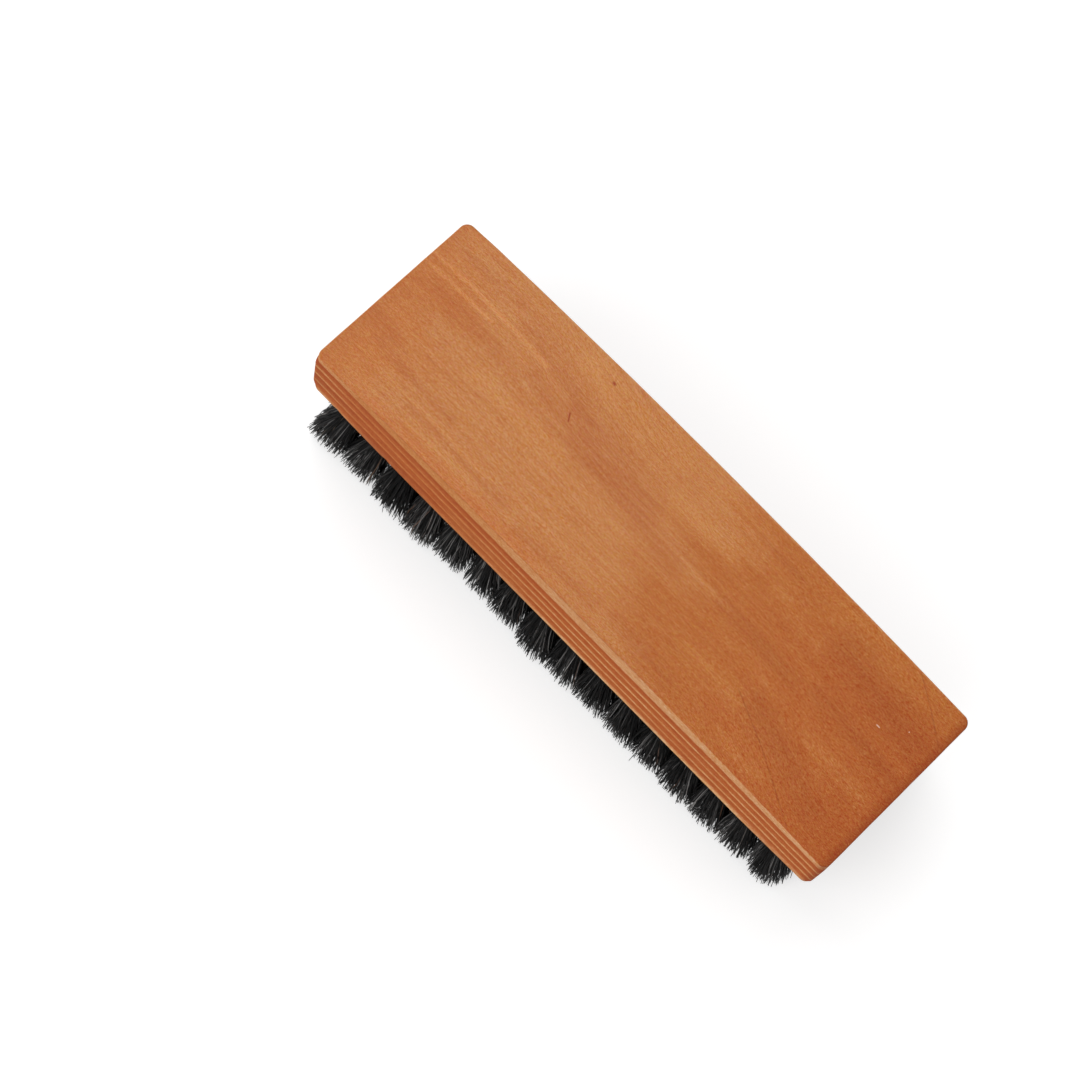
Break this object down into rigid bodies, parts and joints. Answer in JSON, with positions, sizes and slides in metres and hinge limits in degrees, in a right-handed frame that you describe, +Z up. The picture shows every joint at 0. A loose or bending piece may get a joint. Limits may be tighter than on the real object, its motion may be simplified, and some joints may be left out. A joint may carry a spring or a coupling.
{
  "type": "shoe polishing brush",
  "caption": "Hand brush for polishing shoes: an arched wooden block with rounded edges and a dense grid of black bristle tufts in its flat underside.",
  "frame": {"origin": "middle of the bristle face, on the level of the trimmed tips that the brush stands on", "axes": "+X along the brush's length, +Y across its width, +Z up from the bristle tips to the wooden back"},
  "size_m": [0.18, 0.0548, 0.055],
  "materials": {
    "wood": "reddish brown close-grained wood, satin varnish",
    "bristle": "stiff black natural bristle with a soft grey sheen"
  },
  "bodies": {
    "root": {"block": "wood", "bristle_row_01": "bristle", "bristle_row_02": "bristle", "bristle_row_03": "bristle", "bristle_row_04": "bristle", "bristle_row_05": "bristle", "bristle_row_06": "bristle", "bristle_row_07": "bristle", "bristle_row_08": "bristle", "bristle_row_09": "bristle", "bristle_row_10": "bristle", "bristle_row_11": "bristle", "bristle_row_12": "bristle", "bristle_row_13": "bristle", "bristle_row_14": "bristle", "bristle_row_15": "bristle", "bristle_row_16": "bristle"}
  },
  "joints": []
}
